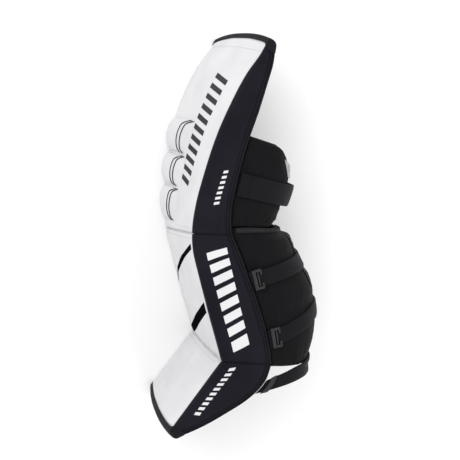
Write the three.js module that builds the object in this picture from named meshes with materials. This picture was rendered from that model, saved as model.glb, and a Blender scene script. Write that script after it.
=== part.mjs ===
// Goalie leg pad for the left leg, lying on its inner side.
// +X runs from the face to the leg, +Y from the toe to the thigh end, +Z from the inner to the outer side.
// Every piece is a loft through sections of the pad. A section is a plane across the pad at a station:
// station 0 is the boot crease, 1 the thigh end and -1 the toe.
import * as THREE from 'three';

// Driving dimensions, in millimetres
const PAD_WIDTH = 229;       // across the face
const LEG_RISE = 478;        // boot crease to thigh end, along Y
const BOOT_FACE = 128;       // boot crease to toe, along the face
const PAD_DEPTH = 77;        // face to back edge at the shin
const TWIST = 37;            // how far the inner edge of the face leads the outer edge at the thigh end
const BOOT_ANGLE = -127.4;   // direction of the boot's face, in degrees from +X
const CROWN = 4;             // swell of the face between its edges
const EDGE_ROUND = 4;        // rounding of the face into the side walls
const SIDE_WALL = 6;
const LINER = 9;             // padding on the leg side
const BINDING = 8;           // height of the edge binding
const BINDING_WIDTH = 10;
const BINDING_ROUND = 1.5;
const CREASE = 1.2;          // width of the crease at the knee and at the boot
const GAP = 0.3;             // clearance between pieces that touch
const SEAT = 0.5;            // clearance under what is laid on a curved piece
const STRAP_SEAT = 0.8;      // clearance under the knee strap, whose path crosses the wing's facets
const LEG_SPACE = 108;       // how far the wings reach behind the pad
const WING = 8;              // thickness of the padded wings
const WING_INSET = 4;        // how far the wings stay inside the side walls
const LINING = 3;
const HEM_HEIGHT = 9;
const HEM_THICK = 1.6;
const WEBBING = 25;          // width of the calf and heel straps
const WEBBING_THICK = 2;
const KNEE_STRAP = 34;
const KNEE_STRAP_THICK = 2.2;
const BAND_THICK = 1;        // band down the back of the calf wing
const TAB = 27;              // width of the buckle tabs
const TAB_THICK = 2;
const BUCKLE = { length: 15, width: 31, wire: 4, thick: 3.6 };
const KEEPER = { width: 29, thick: 2 };   // keeper on the heel strap
const END_ARCH = 9;          // rounding of the thigh end and the toe across the width
const END_SQUARENESS = 2.5;  // exponent of that rounding
const TOE_SKEW = 9;          // how much further the toe reaches at the outer side
const THIGH_SKEW = 11;       // how much further the thigh end reaches at the outer side
const KNEE_SKEW = 18;        // how much lower the knee crease lies at the inner side

// Shape of the leg space behind the pad: a squared round, as an exponent
const SQUARENESS = 2.6;

// Sections of the leg. station and front are shares of LEG_RISE, depth of PAD_DEPTH and lean of TWIST.
// cant is the direction from the face to the back edge, in degrees from +X.
const LEG_SECTIONS = [
  { station: 1.000, front: 0.150, depth: 0.15, cant: -33, lean: 1.00 },
  { station: 0.953, front: 0.124, depth: 0.29, cant: -33, lean: 1.01 },
  { station: 0.897, front: 0.083, depth: 0.44, cant: -32, lean: 1.03 },
  { station: 0.822, front: 0.041, depth: 0.543, cant: -28, lean: 1.04 },
  { station: 0.705, front: -0.013, depth: 0.610, cant: -22, lean: 0.90 },
  { station: 0.549, front: -0.065, depth: 0.670, cant: -15, lean: 0.54 },
  { station: 0.470, front: -0.084, depth: 0.722, cant: -10, lean: 0.36 },
  { station: 0.412, front: -0.091, depth: 0.780, cant: -4, lean: 0.24 },
  { station: 0.350, front: -0.088, depth: 0.863, cant: 5, lean: 0.18 },
  { station: 0.280, front: -0.072, depth: 0.905, cant: 12, lean: 0.17 },
  { station: 0.129, front: -0.034, depth: 0.990, cant: 15, lean: 0.16 },
  { station: 0.055, front: -0.014, depth: 1.003, cant: 13, lean: 0.15 },
  { station: 0.000, front: 0.000, depth: 1.005, cant: -6, lean: 0.15 },
];

// Sections of the boot. station is a share of BOOT_FACE, counted downwards.
const BOOT_SECTIONS = [
  { station: 0.00, depth: 1.005, cant: -6, lean: 0.15 },
  { station: -0.14, depth: 1.040, cant: -15, lean: 0.18 },
  { station: -0.35, depth: 0.945, cant: -19, lean: 0.18 },
  { station: -0.60, depth: 0.675, cant: -26, lean: 0.18 },
  { station: -0.80, depth: 0.430, cant: -37, lean: 0.18 },
  { station: -0.95, depth: 0.245, cant: -47, lean: 0.18 },
  { station: -1.00, depth: 0.190, cant: -51, lean: 0.18 },
];

// How far the wings reach behind the pad, as a share of LEG_SPACE
const REACH = [
  { station: 0.740, reach: 0.935 },
  { station: 0.700, reach: 1.012 },
  { station: 0.640, reach: 1.052 },
  { station: 0.550, reach: 0.998 },
  { station: 0.470, reach: 0.917 },
  { station: 0.412, reach: 0.885 },
  { station: 0.350, reach: 0.920 },
  { station: 0.280, reach: 0.914 },
  { station: 0.203, reach: 0.935 },
  { station: 0.129, reach: 0.987 },
  { station: 0.055, reach: 0.957 },
  { station: 0.030, reach: 0.88 },
  { station: 0.000, reach: 0.73 },
  { station: -0.060, reach: 0.76 },
  { station: -0.300, reach: 0.78 },
];

// Where the outer knee wing ends, as a share of its full way towards the middle of the back
const KNEE_WING_FULL = 0.5;
const KNEE_WING_RISE = 0.035;    // how far the knee wings rise on their way to the back, as a station
const KNEE_WING_EDGE = [
  { station: 0.745, edge: 0.56 },
  { station: 0.732, edge: 0.78 },
  { station: 0.706, edge: 0.92 },
  { station: 0.650, edge: 1.00 },
  { station: 0.590, edge: 1.00 },
  { station: 0.530, edge: 1.00 },
  { station: 0.470, edge: 0.98 },
  { station: 0.440, edge: 0.86 },
];

const KNEE_STATION = 0.408;
const THIGH_END = 0.990;
const TOE_END = -0.975;
const KNEE_ROLLS = [
  { name: 'knee_roll_upper', from: 0.628, to: 0.730, height: 12 },
  { name: 'knee_roll_middle', from: 0.527, to: 0.622, height: 11 },
  { name: 'knee_roll_lower', from: 0.433, to: 0.521, height: 9 },
];
const ROLL_START = 0.42;         // where the rolls begin across the face, as a share of PAD_WIDTH
const CALF_WING = { top: 0.418, bottom: -0.020, edge: 0.97, lift: 0.03 };
const HEM = { from: 0.04, to: 0.95 };
const INNER_KNEE_WING = { top: 0.690, bottom: 0.435, edge: 0.9 };
const INNER_LINING = { from: 0.91, to: 1.96 };
const KNEE_STRAP_PLACE = { station: 0.590, rise: 0.018, from: 0.015, to: 1.975 };
const CALF_STRAPS = [
  { name: 'upper', station: 0.216, end: 0.216, buckle: 0.065, over: BAND_THICK + SEAT },
  { name: 'lower', station: 0.040, end: 0.058, buckle: 0.072, over: 0 },
];
const STRAP_FAR_END = 1.45;      // where the calf straps end, on the inner wing
const STRAP_SLOPE_END = 0.5;     // how far past the buckle a calf strap goes on changing its station
const BUCKLE_SPLIT = 0.008;      // half the way between a tab and its strap, under the buckle
const STRAP_EDGE = 0.007;        // how far from the pad's edge the sewn ends of the straps lie, as a way
const BACK_BAND = { top: 0.370, bottom: 0.120, from: 0.64, to: 0.72 };
const HEEL_STRAP_BEND = 4;       // exponent: the strap rises soon and then runs level round the back
const HEEL_STRAP_CLEAR = 1.2;    // how far it stands off at the back, where it crosses the calf wings' bottom
const HEEL_STRAP = { start: -0.21, rear: -0.02, keeperFrom: 0.04, keeperTo: 0.09 };

// Profile of the knee rolls: shares of their length and width, and the bulge between them
const ROLL_ALONG = [0, 0.12, 0.3, 0.5, 0.7, 0.88, 1];
const ROLL_ACROSS = [0, 0.12, 0.35, 0.65, 0.9, 1];
const ROLL_BULGE = { along: 0.5, across: 0.6, start: 0.06, span: 0.72, rim: 1 };

// Rounding of the end bindings: how far out a ring slides and how far in its corners draw, as shares of
// BINDING, and what its front and its rear lose of the pad's depth
const END_BINDING_RINGS = [
  { slide: 0, corner: 0, front: 0, rear: 0 },
  { slide: 0.6, corner: 0.12, front: 0, rear: 0.2 },
  { slide: 1, corner: 0.6, front: 0.15, rear: 0.5 },
];

// Where the pad thins out towards its ends, these shares of its depth hold in place of the sizes above
const THIN = { liner: 0.35, round: 0.4 };
const ROUND_MIDDLE = 0.35;       // how far back the middle of a rounded edge lies, as a share of its rounding

const COLOURS = {
  white: { color: 0xe6e7e8, roughness: 0.42, metalness: 0 },
  side: { color: 0x26252c, roughness: 0.5, metalness: 0 },
  binding: { color: 0x2f2f35, roughness: 0.65, metalness: 0 },
  liner: { color: 0x1d1d1f, roughness: 0.85, metalness: 0 },
  fleece: { color: 0xa9a9ab, roughness: 0.95, metalness: 0 },
  webbing: { color: 0x232125, roughness: 0.75, metalness: 0 },
  plastic: { color: 0x18181a, roughness: 0.45, metalness: 0 },
};

// Stations shared by every piece, between which they are straight, so that neighbours' facets agree
const LEG_GRID = 24;
const BOOT_GRID = 8;
const GRID_CROWDING = 1.15;      // exponent that crowds the leg's stations towards the boot crease
const SHARED_STATIONS = [
  ...Array.from({ length: BOOT_GRID }, (_, i) => -1 + i / BOOT_GRID),
  ...Array.from({ length: LEG_GRID + 1 }, (_, i) => (i / LEG_GRID) ** GRID_CROWDING),
];

function stationsBetween(from, to) {
  const inside = SHARED_STATIONS.filter((s) => s > from && s < to);
  return [from, ...inside, to];
}

// Value of one column of a table at a station: smooth from row to row at the shared stations
function column(rows, key, station) {
  let i = 0;
  while (i < SHARED_STATIONS.length - 2 && SHARED_STATIONS[i + 1] < station) i++;
  const [below, above] = [SHARED_STATIONS[i], SHARED_STATIONS[i + 1]];
  const share = (station - below) / (above - below);
  return THREE.MathUtils.lerp(smooth(rows, key, below), smooth(rows, key, above), share);
}

// Smooth curve through one column of a table
function smooth(rows, key, station) {
  const sorted = [...rows].sort((a, b) => a.station - b.station);
  const last = sorted.length - 1;
  if (station <= sorted[0].station) return sorted[0][key];
  if (station >= sorted[last].station) return sorted[last][key];
  let i = 0;
  while (sorted[i + 1].station < station) i++;
  const slope = (k) => {
    const a = sorted[Math.max(k - 1, 0)];
    const b = sorted[Math.min(k + 1, last)];
    return (b[key] - a[key]) / (b.station - a.station);
  };
  const [a, b] = [sorted[i], sorted[i + 1]];
  const span = b.station - a.station;
  const t = (station - a.station) / span;
  const [t2, t3] = [t * t, t * t * t];
  return a[key] * (2 * t3 - 3 * t2 + 1) + slope(i) * span * (t3 - 2 * t2 + t)
    + b[key] * (3 * t2 - 2 * t3) + slope(i + 1) * span * (t3 - t2);
}

const radians = THREE.MathUtils.degToRad;
const bootDirection = new THREE.Vector2(Math.cos(radians(BOOT_ANGLE)), Math.sin(radians(BOOT_ANGLE)));

// The pad's section at a station: the outer front edge, the direction to the back, depth and lean
function section(station) {
  const rows = station >= 0 ? LEG_SECTIONS : BOOT_SECTIONS;
  const cant = radians(column(rows, 'cant', station));
  const front = station >= 0
    ? new THREE.Vector2(column(rows, 'front', station) * LEG_RISE, station * LEG_RISE)
    : bootDirection.clone().multiplyScalar(-station * BOOT_FACE);
  return {
    front,
    back: new THREE.Vector2(Math.cos(cant), Math.sin(cant)),
    depth: column(rows, 'depth', station) * PAD_DEPTH,
    lean: column(rows, 'lean', station) * TWIST,
  };
}

// A point of the pad: across counts from the outer side, deep from the face towards the leg
function padPoint(station, across, deep) {
  const { front, back, lean } = section(station);
  const shift = deep - lean * across / PAD_WIDTH;
  return new THREE.Vector3(front.x + back.x * shift, front.y + back.y * shift, PAD_WIDTH - across);
}

const wallDepth = (station) => section(station).depth - BINDING - GAP;

// The liner thins out towards the ends of the pad
const linerFront = (station) => Math.max(wallDepth(station) - LINER, wallDepth(station) * THIN.liner);

// Swell of the face across its width
const faceSwell = (across) => CROWN * (1 - (2 * across / PAD_WIDTH - 1) ** 2);

// Ways round the leg space shared by the wings and the straps laid on them
const WAY_STEP = 0.1;

// Shares of the quarter round's length, turned into its angle
const QUARTER_STEPS = 200;
const quarter = (() => {
  const power = 2 / SQUARENESS;
  const lengths = [0];
  let [x, y] = [1, 0];
  for (let i = 1; i <= QUARTER_STEPS; i++) {
    const angle = Math.PI / 2 * i / QUARTER_STEPS;
    const [nx, ny] = [Math.max(Math.cos(angle), 0) ** power, Math.sin(angle) ** power];
    lengths.push(lengths[i - 1] + Math.hypot(nx - x, ny - y));
    [x, y] = [nx, ny];
  }
  return lengths;
})();

function quarterCurve(share) {
  const length = THREE.MathUtils.clamp(share, 0, 1) * quarter[QUARTER_STEPS];
  let i = 0;
  while (i < QUARTER_STEPS - 1 && quarter[i + 1] < length) i++;
  const step = i + (length - quarter[i]) / (quarter[i + 1] - quarter[i]);
  const angle = Math.PI / 2 * step / QUARTER_STEPS;
  const power = 2 / SQUARENESS;
  return [Math.max(Math.cos(angle), 0) ** power, Math.sin(angle) ** power];
}

// The quarter round as flat facets between the shared ways
function quarterPoint(share) {
  const step = Math.min(Math.floor(share / WAY_STEP + 1e-9), Math.round(1 / WAY_STEP) - 1);
  const [before, after] = [quarterCurve(step * WAY_STEP), quarterCurve((step + 1) * WAY_STEP)];
  const part = share / WAY_STEP - step;
  return before.map((value, i) => THREE.MathUtils.lerp(value, after[i], part));
}

// A point round the leg space: way 0 is the outer edge, 1 the middle of the back, 2 the inner edge.
// out is the distance outside the wings' outer face.
function wrapPoint(station, way, out) {
  const inner = way > 1;
  const [sideways, backwards] = quarterPoint(inner ? 2 - way : way);
  const half = PAD_WIDTH / 2 - WING_INSET + out;
  const reach = column(REACH, 'reach', station) * LEG_SPACE + out;
  const across = PAD_WIDTH / 2 + (inner ? half : -half) * sideways;
  return padPoint(station, across, section(station).depth + SEAT + reach * backwards);
}

// Closed body through rings of points. The first half of a ring faces its second half, run backwards,
// so each end closes with a strip between them.
// Each four-sided facet is split from its outer to its inner side, so that neighbours' facets agree.
function loft(rings) {
  const count = rings[0].length;
  const positions = rings.flat().flatMap((p) => [p.x, p.y, p.z]);
  const faces = [];
  for (let r = 0; r < rings.length - 1; r++) {
    for (let i = 0; i < count; i++) {
      const next = (i + 1) % count;
      const [a, b] = [r * count + i, r * count + next];
      if (rings[r][i].z > rings[r][next].z) faces.push([a, b, b + count], [a, b + count, a + count]);
      else faces.push([a, b, a + count], [b, b + count, a + count]);
    }
  }
  const last = (rings.length - 1) * count;
  for (let i = 0; i < count / 2 - 1; i++) {
    const [a, b, c, d] = [i, i + 1, count - 2 - i, count - 1 - i];
    faces.push([a, c, b], [a, d, c], [last + a, last + b, last + c], [last + a, last + c, last + d]);
  }
  const geometry = new THREE.BufferGeometry();
  geometry.setAttribute('position', new THREE.Float32BufferAttribute(positions, 3));
  geometry.setIndex(orientedOut(positions, faces).flat());
  geometry.computeVertexNormals();
  return geometry;
}

// Turns the faces round where they point into the body
function orientedOut(positions, faces) {
  const corner = (i) => new THREE.Vector3().fromArray(positions, 3 * i);
  const volume = faces.reduce((sum, [a, b, c]) => sum + corner(a).dot(corner(b).cross(corner(c))), 0);
  return volume > 0 ? faces : faces.map(([a, b, c]) => [a, c, b]);
}

const group = new THREE.Group();

function add(name, geometry, colour) {
  const mesh = new THREE.Mesh(geometry, new THREE.MeshStandardMaterial(COLOURS[colour]));
  mesh.name = name;
  group.add(mesh);
  return mesh;
}

// Pieces that fill the pad between its faces, from one crease to the next
const creaseShare = (length) => CREASE / 2 / length;
const SPANS = [
  { name: 'thigh', from: KNEE_STATION + creaseShare(LEG_RISE), to: THIGH_END },
  { name: 'shin', from: creaseShare(LEG_RISE), to: KNEE_STATION - creaseShare(LEG_RISE) },
  { name: 'boot', from: TOE_END, to: -creaseShare(BOOT_FACE) },
];

// The knee crease runs lower towards the inner side, and the stations near it follow
const SKEW_FADE = 0.09;
function skewed(station, across) {
  const fade = Math.max(1 - Math.abs(station - KNEE_STATION) / SKEW_FADE, 0);
  return station - KNEE_SKEW / LEG_RISE * fade * across / PAD_WIDTH;
}

// The thigh end and the toe arch outwards between their corners
const endArch = (across) => END_ARCH * (1 - Math.abs(2 * across / PAD_WIDTH - 1) ** END_SQUARENESS);
const thighBack = section(THIGH_END).back;
const thighDirection = new THREE.Vector2(-thighBack.y, thighBack.x);

function endPoint(station, across, deep, slide = 0) {
  const direction = station > 0 ? thighDirection : bootDirection;
  const skew = (station > 0 ? THIGH_SKEW : TOE_SKEW) * across / PAD_WIDTH;
  const move = new THREE.Vector3(direction.x, direction.y, 0).multiplyScalar(slide + endArch(across) - skew);
  return padPoint(station, across, deep).add(move);
}

function alongPad(from, to, outline) {
  const rings = stationsBetween(from, to).map((station) => outline(station).map(([across, deep]) => (
    station === THIGH_END || station === TOE_END
      ? endPoint(station, across, deep)
      : padPoint(skewed(station, across), across, deep))));
  return loft(rings);
}

const PANEL_ROWS = [0, 0.07, 0.3, 0.5, 0.7, 0.93, 1]
  .map((share) => SIDE_WALL + GAP + (PAD_WIDTH - 2 * SIDE_WALL - 2 * GAP) * share);
const backwards = (rows, deep) => rows.map((across) => [across, deep]).reverse();

function panel(station) {
  const face = PANEL_ROWS.map((across) => [across, -faceSwell(across)]);
  return [...face, ...backwards(PANEL_ROWS, linerFront(station) - GAP)];
}

function liner(station) {
  const front = PANEL_ROWS.map((across) => [across, linerFront(station)]);
  return [...front, ...backwards(PANEL_ROWS, wallDepth(station) - 2 * GAP)];
}

// A wall or binding is drawn for the outer side and turned over for the inner one
const onSide = (side, outline) => (
  side === 'outer' ? outline : outline.map(([across, deep]) => [PAD_WIDTH - across, deep]));

function sideWall(side) {
  return (station) => {
    const round = Math.min(EDGE_ROUND, wallDepth(station) * THIN.round);
    const rows = [0, BINDING_ROUND, SIDE_WALL];
    const front = [[rows[0], round], [rows[1], round * ROUND_MIDDLE], [rows[2], 0]];
    return onSide(side, [...front, ...backwards(rows, wallDepth(station))]);
  };
}

function edgeBinding(side) {
  return (station) => {
    const back = section(station).depth;
    const rows = [0, BINDING_ROUND, SIDE_WALL, BINDING_WIDTH];
    const front = rows.map((across) => [across, back - BINDING]);
    const rear = backwards(rows.slice(1), back);
    return onSide(side, [...front, ...rear, [rows[0], back - BINDING_ROUND]]);
  };
}

for (const { name, from, to } of SPANS) {
  add(`${name}_panel`, alongPad(from, to, panel), 'white');
  add(`${name}_liner`, alongPad(from, to, liner), 'liner');
  for (const side of ['outer', 'inner']) {
    add(`${side}_${name}_side`, alongPad(from, to, sideWall(side)), 'side');
    add(`${side}_${name}_binding`, alongPad(from, to, edgeBinding(side)), 'binding');
  }
}

// Binding over an end of the pad: rings slide outwards along the face and shrink towards the last one
function endBinding(station) {
  const depth = section(station).depth;
  const rings = END_BINDING_RINGS.map(({ slide, corner, front, rear }) => {
    const side = corner * BINDING;
    const rows = [side, ...PANEL_ROWS, PAD_WIDTH - side];
    const face = rows.map((across) => [across, front * depth - faceSwell(across)]);
    return [...face, ...backwards(rows, (1 - rear) * depth)]
      .map(([across, deep]) => endPoint(station, across, deep, GAP + slide * (BINDING - GAP)));
  });
  return loft(rings);
}

add('thigh_end_binding', endBinding(THIGH_END), 'binding');
add('toe_end_binding', endBinding(TOE_END), 'binding');

// Knee rolls on the inner half of the face
function kneeRoll({ from, to, height: full }) {
  const [near, far] = [ROLL_START * PAD_WIDTH, PAD_WIDTH - SIDE_WALL - GAP];
  const across = ROLL_ACROSS.map((share) => near + (far - near) * share);
  const bulge = (share, exponent) => Math.max(Math.sin(Math.PI * share), 0) ** exponent;
  const outline = (share) => {
    const along = bulge(share, ROLL_BULGE.along);
    const height = (s) => ROLL_BULGE.rim
      + (full - ROLL_BULGE.rim) * along * bulge(ROLL_BULGE.start + ROLL_BULGE.span * s, ROLL_BULGE.across);
    const base = across.map((a) => [a, -faceSwell(a) - SEAT]);
    const top = across.map((a, i) => [a, base[i][1] - height(i / (across.length - 1))]).reverse();
    return [...base, ...top];
  };
  return loft(ROLL_ALONG.map((share) => outline(share)
    .map(([a, deep]) => padPoint(from + (to - from) * share, a, deep))));
}

for (const roll of KNEE_ROLLS) add(roll.name, kneeRoll(roll), 'white');

function waysBetween(from, to) {
  const margin = 1e-6;
  const shared = Array.from({ length: Math.round(2 / WAY_STEP) + 1 }, (_, i) => i * WAY_STEP);
  return [from, ...shared.filter((way) => way > from + margin && way < to - margin), to];
}

// Shell of a wing along the ways round the leg space that waysAt gives for each station.
// riseAt tells how much higher a ring lies at the middle of the back than at the pad.
function wingShell(stations, waysAt, outFace, inFace, riseAt = () => 0) {
  const ringAt = (station) => {
    const face = (out) => waysAt(station)
      .map((way) => wrapPoint(station + riseAt(station) * (1 - Math.abs(way - 1)), way, out));
    return [...face(outFace), ...face(inFace).reverse()];
  };
  return loft(stations.map(ringAt));
}

const hemBottom = CALF_WING.top - HEM_HEIGHT / LEG_RISE;
const calfStations = [...stationsBetween(CALF_WING.bottom, hemBottom), CALF_WING.top];
const kneeStations = KNEE_WING_EDGE.map((row) => row.station);
const innerKneeStations = stationsBetween(INNER_KNEE_WING.bottom, INNER_KNEE_WING.top);
const kneeSteps = Math.round(KNEE_WING_FULL / WAY_STEP);

// The outer knee wing is cut back at its corners, so its ways close up there
function kneeWays(station) {
  const edge = column(KNEE_WING_EDGE, 'edge', station) * KNEE_WING_FULL;
  return Array.from({ length: kneeSteps + 1 }, (_, i) => edge * i / kneeSteps);
}

const calfLift = (station) => (station === CALF_WING.bottom ? CALF_WING.lift : 0);
const kneeRise = () => KNEE_WING_RISE;

add('outer_calf_wing', wingShell(calfStations, () => waysBetween(0, CALF_WING.edge), 0, -WING, calfLift),
  'liner');
add('inner_calf_wing', wingShell(calfStations, () => waysBetween(2 - CALF_WING.edge, 2), 0, -WING, calfLift),
  'liner');
add('calf_wing_hem', wingShell([hemBottom, CALF_WING.top], () => waysBetween(HEM.from, HEM.to),
  SEAT + HEM_THICK, SEAT), 'webbing');
add('outer_knee_wing', wingShell(kneeStations, kneeWays, 0, -WING, kneeRise), 'liner');
add('inner_knee_wing', wingShell(innerKneeStations, () => waysBetween(INNER_KNEE_WING.edge, 2), 0, -WING,
  kneeRise), 'liner');
add('inner_knee_lining', wingShell(innerKneeStations, () => waysBetween(INNER_LINING.from, INNER_LINING.to),
  -WING - SEAT, -WING - SEAT - LINING, kneeRise), 'fleece');

// Small step, in stations or ways, along which a direction on the wings is measured
const NUDGE = 0.004;

// A station as a length from the boot crease along the face, and back again
const lengthAt = (station) => station * (station > 0 ? LEG_RISE : BOOT_FACE);
const stationAt = (length) => length / (length > 0 ? LEG_RISE : BOOT_FACE);

// Flat strap laid round the leg space; its middle runs from one station to another
const STRAP_ROWS = [-1, -0.33, 0.33, 1];

function wrapStrap({ fromWay, toWay, station, width, outFace, inFace, raised = () => 0 }) {
  const rings = waysBetween(fromWay, toWay).map((way) => {
    const middle = lengthAt(station(way));
    const step = NUDGE * LEG_RISE;
    const point = (length, out) => wrapPoint(stationAt(length), way, out + raised(way));
    const half = width * step / point(middle + step, inFace).distanceTo(point(middle - step, inFace));
    const face = (out) => STRAP_ROWS.map((row) => point(middle + half * row, out));
    return [...face(inFace), ...face(outFace).reverse()];
  });
  return loft(rings);
}

const mix = THREE.MathUtils.lerp;

add('knee_strap', wrapStrap({
  fromWay: KNEE_STRAP_PLACE.from, toWay: KNEE_STRAP_PLACE.to,
  station: (way) => KNEE_STRAP_PLACE.station + KNEE_STRAP_PLACE.rise * (1 - Math.abs(way - 1)),
  width: KNEE_STRAP, inFace: STRAP_SEAT, outFace: STRAP_SEAT + KNEE_STRAP_THICK,
}), 'webbing');

add('calf_back_band', wingShell(stationsBetween(BACK_BAND.bottom, BACK_BAND.top),
  () => waysBetween(BACK_BAND.from, BACK_BAND.to), SEAT + BAND_THICK, SEAT), 'webbing');

// A buckle is a flat frame round the strap, laid on the wing
function buckle(station, way, out) {
  const { length, width, wire, thick } = BUCKLE;
  const frame = new THREE.Shape();
  frame.moveTo(-length / 2, -width / 2);
  frame.lineTo(length / 2, -width / 2);
  frame.lineTo(length / 2, width / 2);
  frame.lineTo(-length / 2, width / 2);
  frame.closePath();
  const slot = new THREE.Path();
  slot.moveTo(-length / 2 + wire, -width / 2 + wire);
  slot.lineTo(-length / 2 + wire, width / 2 - wire);
  slot.lineTo(length / 2 - wire, width / 2 - wire);
  slot.lineTo(length / 2 - wire, -width / 2 + wire);
  slot.closePath();
  frame.holes.push(slot);
  const geometry = new THREE.ExtrudeGeometry(frame, { depth: thick, bevelEnabled: false });
  const middle = wrapPoint(station, way, out);
  const along = wrapPoint(station, way + NUDGE, out).sub(wrapPoint(station, way - NUDGE, out)).normalize();
  const upward = wrapPoint(station + NUDGE, way, out).sub(middle).normalize();
  const normal = along.clone().cross(upward).normalize();
  if (normal.dot(wrapPoint(station, way, out + 1).sub(middle)) < 0) normal.negate();
  const across = normal.clone().cross(along);
  geometry.applyMatrix4(new THREE.Matrix4().makeBasis(along, across, normal).setPosition(middle));
  return geometry;
}

for (const { name, station, end: endStation, buckle: at, over } of CALF_STRAPS) {
  const under = SEAT + over;
  add(`${name}_calf_tab`, wrapStrap({
    fromWay: STRAP_EDGE, toWay: at - BUCKLE_SPLIT, station: () => station,
    width: TAB, inFace: under, outFace: under + TAB_THICK,
  }), 'side');
  add(`${name}_calf_strap`, wrapStrap({
    fromWay: at + BUCKLE_SPLIT, toWay: STRAP_FAR_END,
    station: (way) => mix(station, endStation, Math.min((way - at) / STRAP_SLOPE_END, 1)),
    width: WEBBING, inFace: under, outFace: under + WEBBING_THICK,
  }), 'webbing');
  add(`${name}_buckle`, buckle(station, at, under + WEBBING_THICK + SEAT), 'plastic');
}

// Heel strap: from the outer back edge of the boot, behind the heel, to the inner back edge
const outwardShare = (way) => Math.abs(way - 1) ** HEEL_STRAP_BEND;
const heelStation = (way) => mix(HEEL_STRAP.rear, HEEL_STRAP.start, outwardShare(way));
const heelRaised = (way) => mix(HEEL_STRAP_CLEAR, 0, outwardShare(way));
add('heel_strap', wrapStrap({
  fromWay: STRAP_EDGE, toWay: 2 - STRAP_EDGE, station: heelStation, raised: heelRaised,
  width: WEBBING, inFace: SEAT, outFace: SEAT + WEBBING_THICK,
}), 'webbing');
add('heel_strap_keeper', wrapStrap({
  fromWay: HEEL_STRAP.keeperFrom, toWay: HEEL_STRAP.keeperTo, station: heelStation, raised: heelRaised,
  width: KEEPER.width, inFace: 2 * SEAT + WEBBING_THICK, outFace: 2 * SEAT + WEBBING_THICK + KEEPER.thick,
}), 'plastic');

// The pad is placed with the middle of its resting side at the origin
const box = new THREE.Box3().setFromObject(group);
group.position.set(-(box.min.x + box.max.x) / 2, -(box.min.y + box.max.y) / 2, -box.min.z);

export default group;
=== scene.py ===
import math

import bmesh
import bpy
import numpy as np
from mathutils import Matrix, Vector


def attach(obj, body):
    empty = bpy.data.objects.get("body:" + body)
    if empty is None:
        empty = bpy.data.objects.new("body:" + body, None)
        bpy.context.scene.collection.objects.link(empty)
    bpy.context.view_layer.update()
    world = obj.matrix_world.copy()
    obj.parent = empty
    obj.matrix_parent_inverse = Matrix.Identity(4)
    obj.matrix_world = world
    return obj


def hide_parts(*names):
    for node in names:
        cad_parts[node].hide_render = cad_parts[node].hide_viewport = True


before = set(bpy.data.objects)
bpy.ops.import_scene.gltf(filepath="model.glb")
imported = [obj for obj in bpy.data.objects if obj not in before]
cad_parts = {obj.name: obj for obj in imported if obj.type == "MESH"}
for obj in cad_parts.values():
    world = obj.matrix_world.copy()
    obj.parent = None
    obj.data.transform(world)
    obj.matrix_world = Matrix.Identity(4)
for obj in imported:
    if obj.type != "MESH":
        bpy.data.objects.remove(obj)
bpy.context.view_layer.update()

# Sizes are in metres, and the pad's own shape repeats the solids'.
PAD_WIDTH = 0.229
LEG_RISE = 0.478
BOOT_FACE = 0.128
PAD_DEPTH = 0.077
TWIST = 0.037
BOOT_ANGLE = math.radians(-127.4)
CROWN = 0.004
LEG_SPACE = 0.108
WING_INSET = 0.004
SEAT = 0.0005
SQUARENESS = 2.6
CREASE_IN_ROW = Vector((-0.041356, -0.189551, 0.0))   # the boot crease's outer front corner, at z 0

# station, front, depth, cant in degrees and lean of the leg's sections
LEG_SECTIONS = np.array([
    (0.000, 0.000, 1.005, -6, 0.15),
    (0.055, -0.014, 1.003, 13, 0.15),
    (0.129, -0.034, 0.990, 15, 0.16),
    (0.280, -0.072, 0.905, 12, 0.17),
    (0.350, -0.088, 0.863, 5, 0.18),
    (0.412, -0.091, 0.780, -4, 0.24),
    (0.470, -0.084, 0.722, -10, 0.36),
    (0.549, -0.065, 0.670, -15, 0.54),
    (0.705, -0.013, 0.610, -22, 0.90),
    (0.822, 0.041, 0.543, -28, 1.04),
    (0.897, 0.083, 0.44, -32, 1.03),
    (0.953, 0.124, 0.29, -33, 1.01),
    (1.000, 0.150, 0.15, -33, 1.00),
])

# station, depth, cant in degrees and lean of the boot's sections
BOOT_SECTIONS = np.array([
    (-1.00, 0.190, -51, 0.18),
    (-0.95, 0.245, -47, 0.18),
    (-0.80, 0.430, -37, 0.18),
    (-0.60, 0.675, -26, 0.18),
    (-0.35, 0.945, -19, 0.18),
    (-0.14, 1.040, -15, 0.18),
    (0.00, 1.005, -6, 0.15),
])

# station and how far the wings reach behind the pad
REACH = np.array([
    (-0.300, 0.78), (-0.060, 0.76), (0.000, 0.73), (0.030, 0.88), (0.055, 0.957), (0.129, 0.987),
    (0.203, 0.935), (0.280, 0.914), (0.350, 0.920), (0.412, 0.885), (0.470, 0.917), (0.550, 0.998),
    (0.640, 1.052), (0.700, 1.012), (0.740, 0.935),
])

GAP = 0.0003
EDGE_ROUND = 0.004
SIDE_WALL = 0.006
LINER = 0.009
LINER_THIN = 0.35
BINDING = 0.008
BINDING_WIDTH = 0.010
WING = 0.008
KNEE_STATION = 0.408
KNEE_SKEW = 0.018
SKEW_FADE = 0.09
THIGH_END, THIGH_NEAR = 0.990, 0.94
TOE_END, TOE_NEAR = -0.975, -0.875
END_ARCH = 0.009
END_SQUARENESS = 2.5
THIGH_SKEW, TOE_SKEW = 0.011, 0.009
CREASE = 0.0012

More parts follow.
